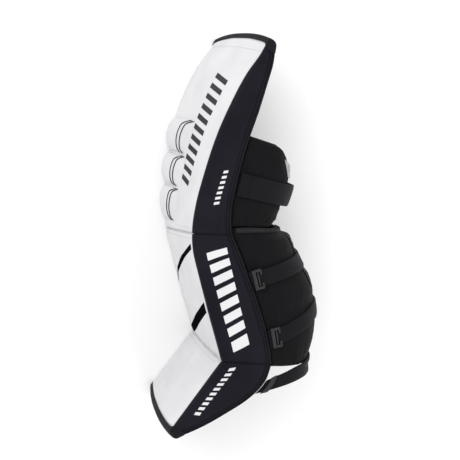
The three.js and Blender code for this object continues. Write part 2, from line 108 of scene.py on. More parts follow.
# each span's lower and upper station and its length along the pad, which its edge rounds are counted by
SPANS = {
    "thigh": (KNEE_STATION + CREASE / 2 / LEG_RISE, THIGH_END, 0.29),
    "shin": (CREASE / 2 / LEG_RISE, KNEE_STATION - CREASE / 2 / LEG_RISE, 0.20),
    "boot": (TOE_END, -CREASE / 2 / BOOT_FACE, 0.125),
}
FACE_LOW, FACE_HIGH = SIDE_WALL + GAP, PAD_WIDTH - SIDE_WALL - GAP
FACE_REACH = PAD_WIDTH - 0.0010          # the face laps over the inner side wall
END_ROLL = 0.005             # rounding of a face at a crease
SIDE_ROLL = 0.004            # rounding of a face at its side seams
SIDE_END_ROLL = 0.0016
FOLD_DEEP, SIDE_FOLD = 0.0026, 0.0012    # how far the folds in the creases lie behind the face and the sides
PANEL_COLUMNS = 60
TOP_SEAM = 0.966
LINER_CHANNEL = 0.055        # from the middle of the pad to each sewn channel of the padding
GROOVE = 0.002               # from the edge binding to the channel in front of it
END_TAPE_LIP = 0.0008
END_CORNER = 0.007
TAPE_PROUD, TAPE_ROUND, TAPE_FILLET = 0.0006, 0.0025, 0.014
TAPE_SHRINK = 0.30
TAPE_LAP, TAPE_WIDEN = 0.0015, 0.006     # how far it laps over the pad, and how much more at the corners
TAPE_FRONT, TAPE_REAR = 0.40, 0.85       # how round its front and rear edges are, where 1 is a half circle
THIGH_LENGTH, TOE_LENGTH = 0.498, -0.129     # length along the pad for one whole station, at its two ends
WING_ROLL = 0.0035

ROLL_START = 0.108
ROLL_FAR = FACE_HIGH
ROLL_RAMP = 0.17             # share of a roll's length over which it rises from the face
ROLL_SINK = 0.0008
# name, lower and upper station and height
KNEE_ROLLS = [("upper_knee_roll", 0.628, 0.730, 0.012), ("middle_knee_roll", 0.527, 0.622, 0.011),
              ("lower_knee_roll", 0.433, 0.521, 0.009)]
ROLL_NODES = {"upper_knee_roll": "knee_roll_upper", "middle_knee_roll": "knee_roll_middle",
              "lower_knee_roll": "knee_roll_lower"}
PIPING = ((0.126, 0.014), (0.143, 0.026))    # across, and how far the cord hooks out at its upper end
PIPING_RADIUS = 0.0010

PATCH_LIFT, PATCH_SINK = 0.0003, 0.0004
# corners of the stripes on the shin, as stations and across
SHIN_STRIPES = np.array([
    [(0.380, 0.0068), (0.256, 0.173), (0.235, 0.180), (0.362, 0.0068)],
    [(0.256, 0.173), (0.193, 0.2220), (0.187, 0.2220), (0.235, 0.180)],
    [(0.193, 0.0068), (0.053, 0.183), (0.014, 0.187), (0.160, 0.0068)],
    [(0.053, 0.183), (0.022, 0.2220), (0.004, 0.2120), (0.014, 0.187)],
])
# how many bars, the line that they start on, the line that they end on, width and slant
THIGH_BARS = (11, np.array([(0.872, 0.052), (0.532, 0.060)]), np.array([(0.872, 0.108), (0.532, 0.102)]),
              0.015, 0.016)
WALL_BARS = [
    ("shin_wall_bars", "shin", (8, np.array([(0.350, 0.0182), (0.018, 0.0208)]),
                                np.array([(0.350, 0.0503), (0.018, 0.0470)]), 0.026, 0.012)),
    ("thigh_wall_bars", "thigh", (7, np.array([(0.621, 0.0256), (0.503, 0.0246)]),
                                  np.array([(0.621, 0.0320), (0.503, 0.0325)]), 0.0085, 0.006)),
    ("boot_wall_bars", "boot", (10, np.array([(-0.055, 0.0175), (-0.720, 0.0135)]),
                                np.array([(-0.055, 0.0262), (-0.720, 0.0215)]), 0.036, 0.020)),
]

CALF_TOP, CALF_BOTTOM, CALF_EDGE, CALF_LIFT = 0.4325, -0.020, 0.97, 0.03
CALF_TOP_RISE, CALF_TOP_FADE, CALF_TOP_FROM = 0.0155, 0.35, 0.33    # its top edge climbs away from the pad
PUFF, HOLD, PUFF_EDGE = 0.0032, 0.010, 0.022     # stuffing's swell, and where straps and rims hold it
WAY_LENGTH = 0.18                        # length round the leg for one whole way
BUCKLE_WAYS = 0.11                       # ways that a calf buckle and its tab lie within
HEM_HEIGHT, HEM_THICK, HEM_FROM, HEM_TO = 0.009, 0.0016, 0.04, 0.95
HEM_RIB, HEM_PITCH = 0.00025, 0.0024
KNEE_WING_FULL, KNEE_WING_RISE = 0.5, 0.035
KNEE_WING_EDGE = np.array([(0.440, 0.86), (0.470, 0.98), (0.530, 1.00), (0.590, 1.00), (0.650, 1.00),
                           (0.706, 0.92), (0.732, 0.78), (0.745, 0.56)])
INNER_KNEE_TOP, INNER_KNEE_BOTTOM, INNER_KNEE_EDGE = 0.690, 0.440, 0.9
INNER_LINING_FROM, INNER_LINING_TO = 0.91, 1.96
LINING = 0.003
KNEE_STRAP = dict(station=0.590, rise=0.018, start=0.015, end=1.975, width=0.034, under=0.0008, thick=0.0022)
WEBBING, WEBBING_THICK = 0.025, 0.002
TAB, TAB_THICK = 0.027, 0.002
STRAP_EDGE, STRAP_FAR_END, STRAP_SLOPE_END, BUCKLE_SPLIT = 0.007, 1.45, 0.5, 0.008
BAND_THICK = 0.001
BACK_BAND = dict(top=0.370, bottom=0.120, start=0.64, end=0.72)
# name, station at the buckle and at the far end, way of the buckle, thickness of what lies under the strap
CALF_STRAPS = [("upper", 0.216, 0.216, 0.065, BAND_THICK + SEAT), ("lower", 0.040, 0.058, 0.072, 0.0)]
BUCKLE = (0.015, 0.031, 0.004, 0.0036)   # length, width, wire and thickness
RIM_LINING = [(0.722, 0.395), (0.667, 0.462), (0.664, 0.500), (0.712, 0.488)]    # stations and ways
RIM_LINING_OUT = 0.0012
SEAM_INSET = 0.016                       # stations from a crease to the stitches beside it
STITCH_RADIUS = 0.0003
HEEL_STRAP = dict(start=-0.21, rear=-0.02, bend=4, clear=0.0012, keeper_start=0.04, keeper_end=0.09)
KEEPER_WIDTH, KEEPER_THICK = 0.029, 0.002

def smooth(rows, key, station):
    """Smooth curve through one column of a table whose first column is the station."""
    x, y = rows[:, 0], rows[:, key]
    before, after = np.maximum(np.arange(len(x)) - 1, 0), np.minimum(np.arange(len(x)) + 1, len(x) - 1)
    slope = (y[after] - y[before]) / (x[after] - x[before])
    station = np.clip(station, x[0], x[-1])
    i = np.clip(np.searchsorted(x, station) - 1, 0, len(x) - 2)
    span = x[i + 1] - x[i]
    t = (station - x[i]) / span
    t2, t3 = t * t, t * t * t
    return (y[i] * (2 * t3 - 3 * t2 + 1) + slope[i] * span * (t3 - 2 * t2 + t)
            + y[i + 1] * (3 * t2 - 2 * t3) + slope[i + 1] * span * (t3 - t2))


def lengths(points):
    """Length along a line of points, up to each of them."""
    return np.concatenate([[0], np.cumsum(np.linalg.norm(np.diff(points, axis=0), axis=1))])


def section(station):
    """Front corner, direction to the back, depth and lean of the pad's section at each station."""
    station = np.asarray(station, float)
    on_leg = station >= 0

    def column(leg_key, boot_key):
        return np.where(on_leg, smooth(LEG_SECTIONS, leg_key, station),
                        smooth(BOOT_SECTIONS, boot_key, station))

    cant = np.radians(column(3, 2))
    boot = -station * BOOT_FACE
    front_x = np.where(on_leg, smooth(LEG_SECTIONS, 1, station) * LEG_RISE, boot * math.cos(BOOT_ANGLE))
    front_y = np.where(on_leg, station * LEG_RISE, boot * math.sin(BOOT_ANGLE))
    return front_x, front_y, np.cos(cant), np.sin(cant), column(2, 1) * PAD_DEPTH, column(4, 3) * TWIST


def pad_point(station, across, deep):
    """Points of the pad: across counts from the outer side, deep from the face towards the leg."""
    station, across, deep = np.broadcast_arrays(*(np.asarray(v, float) for v in (station, across, deep)))
    front_x, front_y, back_x, back_y, _, lean = section(station)
    shift = deep - lean * across / PAD_WIDTH
    return np.stack([front_x + back_x * shift + CREASE_IN_ROW.x, front_y + back_y * shift + CREASE_IN_ROW.y,
                     PAD_WIDTH - across], -1)


def depth_at(station):
    return section(station)[4]


def wall_depth(station):
    """Depth of the side walls: what the edge binding leaves."""
    return depth_at(station) - BINDING - GAP


def liner_front(station):
    return np.maximum(wall_depth(station) - LINER, wall_depth(station) * LINER_THIN)


def face_swell(across):
    return CROWN * (1 - (2 * np.asarray(across) / PAD_WIDTH - 1) ** 2)


def quarter_curve():
    """Points of a squared quarter round, evenly spaced along it."""
    angle = np.linspace(0, math.pi / 2, 400)
    power = 2 / SQUARENESS
    points = np.stack([np.maximum(np.cos(angle), 0) ** power, np.sin(angle) ** power], -1)
    run = lengths(points)
    return run / run[-1], points


QUARTER_SHARES, QUARTER_POINTS = quarter_curve()


def wrap_point(station, way, out):
    """Points round the leg space: way 0 is the outer edge, 1 the middle of the back, 2 the inner edge."""
    station, way, out = np.broadcast_arrays(*(np.asarray(v, float) for v in (station, way, out)))
    inner = way > 1
    share = np.clip(np.where(inner, 2 - way, way), 0, 1)
    sideways = np.interp(share, QUARTER_SHARES, QUARTER_POINTS[:, 0])
    backwards = np.interp(share, QUARTER_SHARES, QUARTER_POINTS[:, 1])
    half = PAD_WIDTH / 2 - WING_INSET + out
    across = PAD_WIDTH / 2 + np.where(inner, half, -half) * sideways
    reach = smooth(REACH, 1, station) * LEG_SPACE + out
    return pad_point(station, across, depth_at(station) + SEAT + reach * backwards)


def skewed(station, across):
    """The knee crease runs lower towards the inner side, and the stations near it follow."""
    fade = np.maximum(1 - np.abs(station - KNEE_STATION) / SKEW_FADE, 0)
    return station - KNEE_SKEW / LEG_RISE * fade * across / PAD_WIDTH


def end_move(station, across, slide=0.0):
    """How far the thigh end and the toe arch outwards between their corners."""
    arch = END_ARCH * (1 - np.abs(2 * across / PAD_WIDTH - 1) ** END_SQUARENESS)
    if station > 0:
        _, _, back_x, back_y, _, _ = section(THIGH_END)
        direction, skew = (-float(back_y), float(back_x)), THIGH_SKEW
    else:
        direction, skew = (math.cos(BOOT_ANGLE), math.sin(BOOT_ANGLE)), TOE_SKEW
    size = slide + arch - skew * across / PAD_WIDTH
    return np.stack([direction[0] * size, direction[1] * size, 0 * size], -1)


def face_point(station, across, deep):
    """A point of the pad with the slanted knee crease and the arched ends."""
    station, across, deep = np.broadcast_arrays(*(np.asarray(v, float) for v in (station, across, deep)))
    points = pad_point(skewed(station, across), across, deep)
    for end, near in ((THIGH_END, THIGH_NEAR), (TOE_END, TOE_NEAR)):
        share = np.clip((station - near) / (end - near), 0, 1)
        points = points + end_move(end, across) * share[..., None]
    return points


class Nodes:
    """Short ways to make and link the nodes of one material."""

    def __init__(self, name):
        self.material = bpy.data.materials.new(name)
        self.material.use_nodes = True
        self.tree = self.material.node_tree
        self.shader = self.tree.nodes["Principled BSDF"]

    def add(self, kind, **values):
        node = self.tree.nodes.new(kind)
        for key, value in values.items():
            if hasattr(node, key):
                setattr(node, key, value)
            else:
                node.inputs[key.replace("_", " ")].default_value = value
        return node

    def set(self, **values):
        for key, value in values.items():
            self.shader.inputs[key.replace("_", " ")].default_value = value

    def link(self, out, socket):
        self.tree.links.new(out, socket)

    def coordinates(self, scale, kind="Object"):
        source = self.add("ShaderNodeTexCoord")
        mapping = self.add("ShaderNodeMapping")
        mapping.inputs["Scale"].default_value = scale if hasattr(scale, "__len__") else (scale,) * 3
        self.link(source.outputs[kind], mapping.inputs["Vector"])
        return mapping.outputs["Vector"]

    def noise(self, vector, scale, detail=3.0, roughness=0.5):
        node = self.add("ShaderNodeTexNoise", Scale=scale, Detail=detail, Roughness=roughness)
        self.link(vector, node.inputs["Vector"])
        return node.outputs["Fac"]

    def range(self, value, low, high, to_low, to_high):
        node = self.add("ShaderNodeMapRange")
        sockets = ("From Min", "From Max", "To Min", "To Max")
        for socket, number in zip(sockets, (low, high, to_low, to_high)):
            node.inputs[socket].default_value = number
        self.link(value, node.inputs["Value"])
        return node.outputs["Result"]

    def math(self, kind, a, b=None):
        node = self.add("ShaderNodeMath", operation=kind)
        for socket, value in zip(node.inputs, (a, b)):
            if value is None:
                continue
            if isinstance(value, (int, float)):
                socket.default_value = value
            else:
                self.link(value, socket)
        return node.outputs[0]

    def colours(self, factor, first, second):
        node = self.add("ShaderNodeMix", data_type="RGBA")
        node.inputs[6].default_value = (*first, 1)
        node.inputs[7].default_value = (*second, 1)
        self.link(factor, node.inputs[0])
        return node.outputs[2]

    def bump(self, height, strength, distance, after=None):
        node = self.add("ShaderNodeBump")
        node.inputs["Strength"].default_value = strength
        node.inputs["Distance"].default_value = distance
        self.link(height, node.inputs["Height"])
        if after is not None:
            self.link(after, node.inputs["Normal"])
        return node.outputs["Normal"]


def leather(name, dark, light, rough, grain, grain_scale, coat=0.0, shine=0.32):
    """Smooth synthetic leather: fine pebbled grain, slight mottling and slack waves."""
    n = Nodes(name)
    at = n.coordinates(1.0)
    mottle = n.noise(at, 14, 4)
    n.link(n.colours(n.range(mottle, 0.35, 0.65, 0, 1), dark, light), n.shader.inputs["Base Color"])
    cells = n.add("ShaderNodeTexVoronoi", Scale=grain_scale, feature="F1")
    n.link(at, cells.inputs["Vector"])
    fine = n.noise(at, grain_scale * 1.7, 3)
    height = n.math("ADD", n.math("MULTIPLY", cells.outputs["Distance"], 0.8), n.math("MULTIPLY", fine, 0.5))
    slack = n.bump(n.noise(at, 22, 2), 0.25, 0.0012)
    n.link(n.bump(height, grain, 0.00025, slack), n.shader.inputs["Normal"])
    n.link(n.range(n.noise(at, 60, 4), 0.3, 0.7, rough[0], rough[1]), n.shader.inputs["Roughness"])
    n.set(Specular_IOR_Level=shine, Coat_Weight=coat, Coat_Roughness=0.3)
    return n.material


def woven(name, dark, light, threads, depth=0.0003):
    """Cloth of threads that pass over and under each other. threads is how many there are in a metre."""
    n = Nodes(name)
    at = n.coordinates(1.0, "UV")
    parts = n.add("ShaderNodeSeparateXYZ")
    n.link(at, parts.inputs[0])
    turn = 2 * math.pi * threads / 2
    first = n.math("SINE", n.math("MULTIPLY", parts.outputs[0], turn))
    second = n.math("SINE", n.math("MULTIPLY", parts.outputs[1], turn))
    weave = n.math("MULTIPLY", first, second)
    height = n.range(weave, -1, 1, 0, 1)
    mottle = n.noise(n.coordinates(1.0), 30, 4)
    # The colour follows the weave's height, so the hollows between the threads are darker: painted shade,
    # mixed with random mottling.
    shade = n.math("ADD", n.math("MULTIPLY", height, 0.55), n.math("MULTIPLY", mottle, 0.45))
    n.link(n.colours(n.range(shade, 0.25, 0.75, 0, 1), dark, light), n.shader.inputs["Base Color"])
    n.link(n.bump(height, 0.7, depth), n.shader.inputs["Normal"])
    n.set(Roughness=0.8, Sheen_Weight=0.02, Sheen_Roughness=0.45, Specular_IOR_Level=0.12)
    return n.material


def webbing(name, dark, light, ribs):
    """Nylon webbing: ribs across the strap with a herringbone of warp threads."""
    n = Nodes(name)
    at = n.coordinates(1.0, "UV")
    parts = n.add("ShaderNodeSeparateXYZ")
    n.link(at, parts.inputs[0])
    turn = 2 * math.pi * ribs
    slant = n.math("ABSOLUTE", n.math("SINE", n.math("MULTIPLY", parts.outputs[1], turn * 0.25)))
    along = n.math("MULTIPLY", parts.outputs[0], turn)
    rib = n.math("SINE", n.math("ADD", along, n.math("MULTIPLY", slant, 3.0)))
    warp = n.math("SINE", n.math("MULTIPLY", parts.outputs[1], turn * 1.2))
    height = n.range(n.math("ADD", rib, n.math("MULTIPLY", warp, 0.5)), -1.5, 1.5, 0, 1)
    mottle = n.noise(n.coordinates(1.0), 45, 4)
    # The colour follows the ribs' height, so the valleys between the ribs are darker: painted shade, mixed
    # with random mottling.
    shade = n.math("ADD", n.math("MULTIPLY", height, 0.6), n.math("MULTIPLY", mottle, 0.4))
    n.link(n.colours(n.range(shade, 0.25, 0.8, 0, 1), dark, light), n.shader.inputs["Base Color"])
    n.link(n.bump(height, 0.8, 0.0004), n.shader.inputs["Normal"])
    n.set(Roughness=0.62, Sheen_Weight=0.02, Sheen_Roughness=0.4, Specular_IOR_Level=0.10)
    return n.material


def fleece(name, dark, light):
    """Brushed lining: soft short pile."""
    n = Nodes(name)
    at = n.coordinates(1.0)
    pile = n.noise(at, 900, 5, 0.7)
    clumps = n.noise(at, 120, 4)
    shade = n.math("ADD", n.math("MULTIPLY", pile, 0.5), n.math("MULTIPLY", clumps, 0.5))
    n.link(n.colours(n.range(shade, 0.35, 0.65, 0, 1), dark, light), n.shader.inputs["Base Color"])
    n.link(n.bump(pile, 0.9, 0.0009), n.shader.inputs["Normal"])
    n.set(Roughness=0.95, Sheen_Weight=0.6)
    return n.material


def moulded(name, colour, rough=0.42):
    """Moulded plastic with a fine spark-eroded texture."""
    n = Nodes(name)
    at = n.coordinates(1.0)
    light = tuple(c * 1.5 for c in colour)
    n.link(n.colours(n.noise(at, 80, 3), colour, light), n.shader.inputs["Base Color"])
    n.link(n.bump(n.noise(at, 2200, 2), 0.25, 0.0001), n.shader.inputs["Normal"])
    n.link(n.range(n.noise(at, 150, 3), 0.3, 0.7, rough - 0.06, rough + 0.08), n.shader.inputs["Roughness"])
    return n.material


MATERIAL = {
    "white": leather("white_leather", (0.62, 0.62, 0.64), (0.68, 0.68, 0.69), (0.36, 0.5), 0.25, 900, 0.1),
    "side": leather("black_leather", (0.0056, 0.0048, 0.0092), (0.0095, 0.0084, 0.0142), (0.42, 0.58), 0.5,
                    750, shine=0.10),
    "binding": woven("binding_tape", (0.0045, 0.0042, 0.0062), (0.014, 0.0135, 0.018), 1500, depth=0.0002),
    "liner": woven("padded_nylon", (0.0022, 0.0022, 0.0028), (0.0060, 0.0060, 0.0074), 1300, depth=0.0002),
    "webbing": webbing("nylon_webbing", (0.0030, 0.0027, 0.0040), (0.0095, 0.0085, 0.0120), 600),
    "elastic": webbing("ribbed_elastic", (0.0050, 0.0050, 0.0060), (0.034, 0.034, 0.038), 350),
    "fleece": fleece("brushed_lining", (0.20, 0.20, 0.21), (0.40, 0.40, 0.41)),
    "plastic": moulded("buckle_plastic", (0.0055, 0.0055, 0.0065)),
    "piping": woven("piping_cord", (0.010, 0.010, 0.012), (0.030, 0.030, 0.034), 1800),
    "thread": woven("sewing_thread", (0.012, 0.012, 0.014), (0.030, 0.030, 0.034), 3000),
    "white_thread": woven("white_sewing_thread", (0.50, 0.50, 0.51), (0.66, 0.66, 0.67), 3000),
    "print_dark": leather("dark_print", (0.030, 0.030, 0.032), (0.042, 0.042, 0.044), (0.7, 0.8), 0.2,
                          900, shine=0.08),
    "print_black": leather("black_print", (0.0030, 0.0026, 0.0040), (0.006, 0.0052, 0.008), (0.8, 0.9), 0.3,
                           900, shine=0.0),
    "print_white": leather("white_print", (0.66, 0.66, 0.67), (0.72, 0.72, 0.73), (0.38, 0.5), 0.2, 900),
}


def unit(v):
    return v / np.maximum(np.linalg.norm(v, axis=-1, keepdims=True), 1e-12)


def grid_uv(grid):
    """Lengths along and across a grid of points, in metres."""
    step_down = np.linalg.norm(np.diff(grid, axis=0), axis=-1).mean(1)
    step_along = np.linalg.norm(np.diff(grid, axis=1), axis=-1).mean(0)
    down = np.concatenate([[0], np.cumsum(step_down)])
    along = np.concatenate([[0], np.cumsum(step_along)])
    return np.stack(np.meshgrid(down, along, indexing="ij"), -1).reshape(-1, 2)


def closed_grid(front, back):
    """Vertices, faces and UVs of the closed body between two grids of points of one size."""
    rows, columns = front.shape[:2]
    count = rows * columns
    verts = np.concatenate([front.reshape(-1, 3), back.reshape(-1, 3)])
    index = np.arange(count).reshape(rows, columns)
    quads = np.stack([index[:-1, :-1], index[1:, :-1], index[1:, 1:], index[:-1, 1:]], -1).reshape(-1, 4)
    ring = np.concatenate([index[0, :-1], index[:-1, -1], index[-1, :0:-1], index[:0:-1, 0]])
    after = np.roll(ring, -1)
    sides = np.stack([ring, ring + count, after + count, after], -1)
    faces = np.concatenate([quads, quads[:, ::-1] + count, sides])
    uv = np.concatenate([grid_uv(front), grid_uv(front)])
    return verts, faces, uv


def tube(path, radius, sides=8, up=(0.31, 0.17, 0.93)):
    """Vertices, faces and UVs of a round cord along a path."""
    path = np.asarray(path, float)
    tangent = unit(np.gradient(path, axis=0))
    side = unit(np.cross(tangent, np.broadcast_to(up, path.shape)))
    rise = np.cross(side, tangent)
    angle = np.arange(sides) * 2 * math.pi / sides
    ring = np.cos(angle)[None, :, None] * side[:, None] + np.sin(angle)[None, :, None] * rise[:, None]
    radius = np.broadcast_to(np.asarray(radius, float), len(path))
    verts = (path[:, None] + ring * radius[:, None, None]).reshape(-1, 3)
    index = np.arange(len(path) * sides).reshape(len(path), sides)
    a, b = index[:-1], index[1:]
    faces = [tuple(f) for f in np.stack([a, b, np.roll(b, -1, 1), np.roll(a, -1, 1)], -1).reshape(-1, 4)]
    faces += [tuple(index[0]), tuple(index[-1, ::-1])]
    around = angle / (2 * math.pi) * 0.01
    uv = np.stack(np.broadcast_arrays(lengths(path)[:, None], around[None, :]), -1).reshape(-1, 2)
    return verts, faces, uv


def join(parts):
    """One set of vertices, faces and UVs out of several."""
    verts, faces, uvs, start = [], [], [], 0
    for part_verts, part_faces, part_uv in parts:
        verts.append(part_verts)
        faces += [tuple(int(i) + start for i in face) for face in part_faces]
        uvs.append(part_uv)
        start += len(part_verts)
    return np.concatenate(verts), faces, np.concatenate(uvs)


def piece(name, body, material, replaces=(), sharp=40):
    """Makes the mesh, gives it its material and lets it ride on the part."""
    verts, faces, uv = body
    mesh = bpy.data.meshes.new(name)
    mesh.from_pydata([tuple(v) for v in verts], [], [tuple(int(i) for i in f) for f in faces])
    layer = mesh.uv_layers.new(name="length")
    corner = np.empty(len(mesh.loops), np.int32)
    mesh.loops.foreach_get("vertex_index", corner)
    layer.data.foreach_set("uv", np.asarray(uv, np.float32)[corner].ravel())
    work = bmesh.new()
    work.from_mesh(mesh)
    bmesh.ops.recalc_face_normals(work, faces=work.faces)
    work.to_mesh(mesh)
    work.free()
    mesh.shade_smooth()
    mesh.set_sharp_from_angle(angle=math.radians(sharp))
    mesh.materials.append(material)
    obj = bpy.data.objects.new(name, mesh)
    bpy.context.scene.collection.objects.link(obj)
    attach(obj, "root")
    if replaces:
        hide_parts(*replaces)
    return obj


def soft_steps(count, edge, length):
    """Shares from 0 to 1 that crowd within edge of both ends of a length."""
    rim = edge / length
    ends = np.array([0, 0.15, 0.4, 0.7]) * rim
    return np.concatenate([ends, np.linspace(rim, 1 - rim, count), 1 - ends[::-1]])


def rolled(distance, radius):
    """How far a rounded edge lies behind its face at a distance from the edge."""
    d = np.clip(distance / radius, 0, 1)
    return radius * (1 - np.sqrt(np.maximum(1 - (1 - d) ** 2, 0)))


SIDES = ("outer", "inner")


def mirrored(side, across):
    return across if side == "outer" else PAD_WIDTH - across


def span_stations(span, count):
    """Stations along a span, crowded at both its ends."""
    low, high, length = SPANS[span]
    return low + (high - low) * soft_steps(count, END_ROLL, length)


def end_distance(span, station):
    """Distance from the nearer end of a span."""
    low, high, length = SPANS[span]
    return np.minimum(station - low, high - station) / (high - low) * length


def make_panel(span, rows):
    """Front of a span: a firm face under smooth leather, rolled over at its ends and sides."""
    station = span_stations(span, rows)[:, None]
    share = soft_steps(PANEL_COLUMNS, SIDE_ROLL, FACE_REACH - FACE_LOW)[None, :]
    across = FACE_LOW + (FACE_REACH - FACE_LOW) * share
    deep = face_deep(span, station, across)
    across = np.append(across, [[FACE_HIGH]], axis=1)
    deep = np.append(deep, rim_deep(station) + GAP, axis=1)
    front = face_point(station, across, deep)
    across = FACE_LOW + (FACE_HIGH - FACE_LOW) * np.append(share * 0.99, [[1.0]], axis=1)
    back = face_point(station, across, liner_front(station) - GAP + 0 * across)
    return piece(f"{span}_face", closed_grid(front, back), MATERIAL["white"],
                 [f"{span}_panel"])


def face_deep(span, station, across):
    """Deepness of a span's face: its swell, its rolled rims and its low relief."""
    ends = rolled(end_distance(span, station), END_ROLL)
    sides = rolled(np.minimum(across - FACE_LOW, FACE_REACH - across), SIDE_ROLL)
    roll = np.minimum(np.maximum(ends, sides), rim_deep(station))
    return -face_swell(across) + roll + face_dents(span, station, across)


def rim_deep(station):
    """Deepness of the rolled rims of a face, which grow flat where the pad thins out."""
    return np.minimum(SIDE_ROLL, liner_front(station) * 0.85)


def face_dents(span, station, across):
    """Low relief of a face: the seam under the thigh end, slack waves and wrinkles at the boot crease."""
    waves = 0.00035 * np.sin(station * 41 + across * 37) * np.sin(across * 61 - station * 17)
    dents = waves + 0 * across
    if span == "thigh":
        dents = dents + 0.0009 * np.exp(-((station - TOP_SEAM) / 0.0045) ** 2)
    if span in ("shin", "boot"):
        near = np.exp(-np.abs(station) / (0.035 if span == "shin" else 0.09))
        folds = np.sin(across * 210 + station * 160 + 1.3 * np.sin(across * 95))
        dents = dents + 0.0011 * near * folds * np.exp(-((across - 0.05) / 0.075) ** 2)
    return dents


def make_liner(span, rows):
    """Leg side of a span: quilted padding with sewn channels across it."""
    station = span_stations(span, rows)[:, None]
    width = FACE_HIGH - FACE_LOW
    across = (FACE_LOW + width * soft_steps(PANEL_COLUMNS, SIDE_ROLL, width))[None, :]
    front = face_point(station, across, liner_front(station) + 0 * across)
    edge = np.minimum(end_distance(span, station), np.minimum(across - FACE_LOW, FACE_HIGH - across))
    middle = PAD_WIDTH / 2
    channels = channel(across, middle - LINER_CHANNEL) + channel(across, middle + LINER_CHANNEL)
    deep = wall_depth(station) - 2 * GAP - rolled(edge, SIDE_ROLL) - 0.002 * channels
    back = face_point(station, across, np.maximum(deep, liner_front(station) + 0.0015))
    return piece(f"{span}_padding", closed_grid(back, front), MATERIAL["liner"],
                 [f"{span}_liner"])


def channel(value, at, width=0.004):
    """Valley of a sewn channel, from 0 to 1."""
    return np.exp(-((value - at) / width) ** 2)


def make_side(side, span, rows):
    """Side wall of a span, with a soft swell and a sewn channel in front of the edge binding."""
    station = span_stations(span, rows)[:, None]
    share = soft_steps(22, 0.14, 1.0)[None, :]
    start = rim_deep(station) + 3 * GAP if side == "inner" else 0.0
    deep = start + (wall_depth(station) - start) * share
    outside = face_point(station, mirrored(side, wall_inset(span, station, deep)), deep)
    inside = face_point(station, mirrored(side, SIDE_WALL + 0 * deep), deep)
    return piece(f"{side}_{span}_wall", closed_grid(outside, inside), MATERIAL["side"],
                 [f"{side}_{span}_side"])


def wall_inset(span, station, deep):
    """How far a side wall lies in from the pad's side: rounded edges, a sewn channel and slack waves."""
    wall = wall_depth(station)
    rim = np.minimum(EDGE_ROUND, wall * 0.4)
    ends = rolled(end_distance(span, station), SIDE_END_ROLL)
    inset = np.maximum(rolled(deep, rim), ends) + 0.0008 * channel(wall - deep, GROOVE)
    waves = 1 + np.sin(station * 63 + deep * 90) * np.sin(deep * 160 - station * 21)
    return np.minimum(inset + 0.00025 * waves, SIDE_WALL * 0.8)


def make_binding(side, span, rows):
    """Edge binding of a span: two rolled cords of tape side by side."""
    station = span_stations(span, rows)[:, None]
    depth = depth_at(station)
    share = np.linspace(0, 1, 15)[None, :]
    beads = np.abs(np.sin(2 * math.pi * share)) ** 0.6
    deep = depth - BINDING + BINDING * share
    inset = 0.0016 - 0.0022 * beads
    outside = face_point(station, mirrored(side, inset), deep)
    inside = face_point(station, mirrored(side, BINDING_WIDTH + 0 * share), deep - 0.0004 * share)
    return piece(f"{side}_{span}_tape", closed_grid(outside, inside), MATERIAL["binding"],
                 [f"{side}_{span}_binding"])


def make_end_tape(end, name):
    """Tape rolled over an end of the pad. It widens at the corners and runs out round the back edge."""
    low, high = -TAPE_PROUD, PAD_WIDTH + TAPE_PROUD
    across = (low + (high - low) * soft_steps(56, 0.05, 1.0))[:, None]
    angle = np.linspace(0, math.pi, 21)[None, :]
    rim = np.minimum(across - low, high - across)
    shrink = 1 - TAPE_SHRINK * rolled(rim, TAPE_ROUND) / TAPE_ROUND
    share = 0.5 - 0.5 * shrink * np.cos(angle) + 0 * rim
    square = np.where(angle < math.pi / 2, TAPE_FRONT, TAPE_REAR)
    out = np.sin(angle) ** square * (BINDING + GAP) - rolled(rim, END_CORNER) * np.sin(angle)
    spread = np.clip(1 - rim / TAPE_FILLET, 0, 1) ** 2
    lap = TAPE_LAP + TAPE_WIDEN * spread
    slide = np.where(np.sin(angle) < 1e-6, -lap, np.maximum(out, -lap))
    outside = end_point(end, across, share, slide, END_TAPE_LIP)
    feet = end_point(end, across, 0.02 + 0.96 * share, -lap + 0 * angle, 0.0)
    return piece(name, closed_grid(outside, feet), MATERIAL["binding"],
                 ["thigh_end_binding" if end > 0 else "toe_end_binding"], sharp=60)


def end_point(end, across, share, slide, lip):
    """Points round an end of the pad, from a share of its depth and a length beyond the end or before it."""
    across = across + 0 * share
    station = end + np.minimum(slide, 0) / (THIGH_LENGTH if end > 0 else TOE_LENGTH)
    front = -face_swell(across) - lip
    deep = front + (depth_at(station) + lip - front) * share
    beyond = end_move(end, across, np.maximum(slide, 0)) - end_move(end, across)
    return face_point(station, across, deep) + beyond


def roll_rise(low, high, height, station, across):
    """How far a knee roll stands above the face. It sinks just under the face at its near edge."""
    share = np.clip((station - low) / (high - low), 0, 1)
    wide = np.clip((across - ROLL_START) / (ROLL_FAR - ROLL_START), 0, 1)
    along = np.sin(math.pi * share) ** 0.5
    ramp = np.clip(wide / ROLL_RAMP, 0, 1)
    swell = ramp * ramp * (3 - 2 * ramp) * np.minimum(1.0, ((1 - wide) / 0.12) ** 0.5)
    puckers = np.sin(across * 300 + share * 3) * np.exp(-(np.minimum(share, 1 - share) / 0.15) ** 2)
    swell = swell * ((height + ROLL_SINK) * along * (0.86 + 0.14 * wide) + 0.0006 * puckers)
    return swell - ROLL_SINK


def make_roll(name, low, high, height):
    """Knee roll: a stuffed pillow sewn across the inner part of the face."""
    station = (low + (high - low) * soft_steps(30, 0.16, 1.0))[:, None]
    across = (ROLL_START + (ROLL_FAR - ROLL_START) * soft_steps(44, 0.12, 1.0))[None, :]
    rise = roll_rise(low, high, height, station, across)
    top = face_point(station, across, -face_swell(across) - SEAT - rise)
    bottom = face_point(station, across, -face_swell(across) + 2 * ROLL_SINK + 0 * station)
    return piece(name, closed_grid(top, bottom), MATERIAL["white"], [ROLL_NODES[name]], sharp=80)


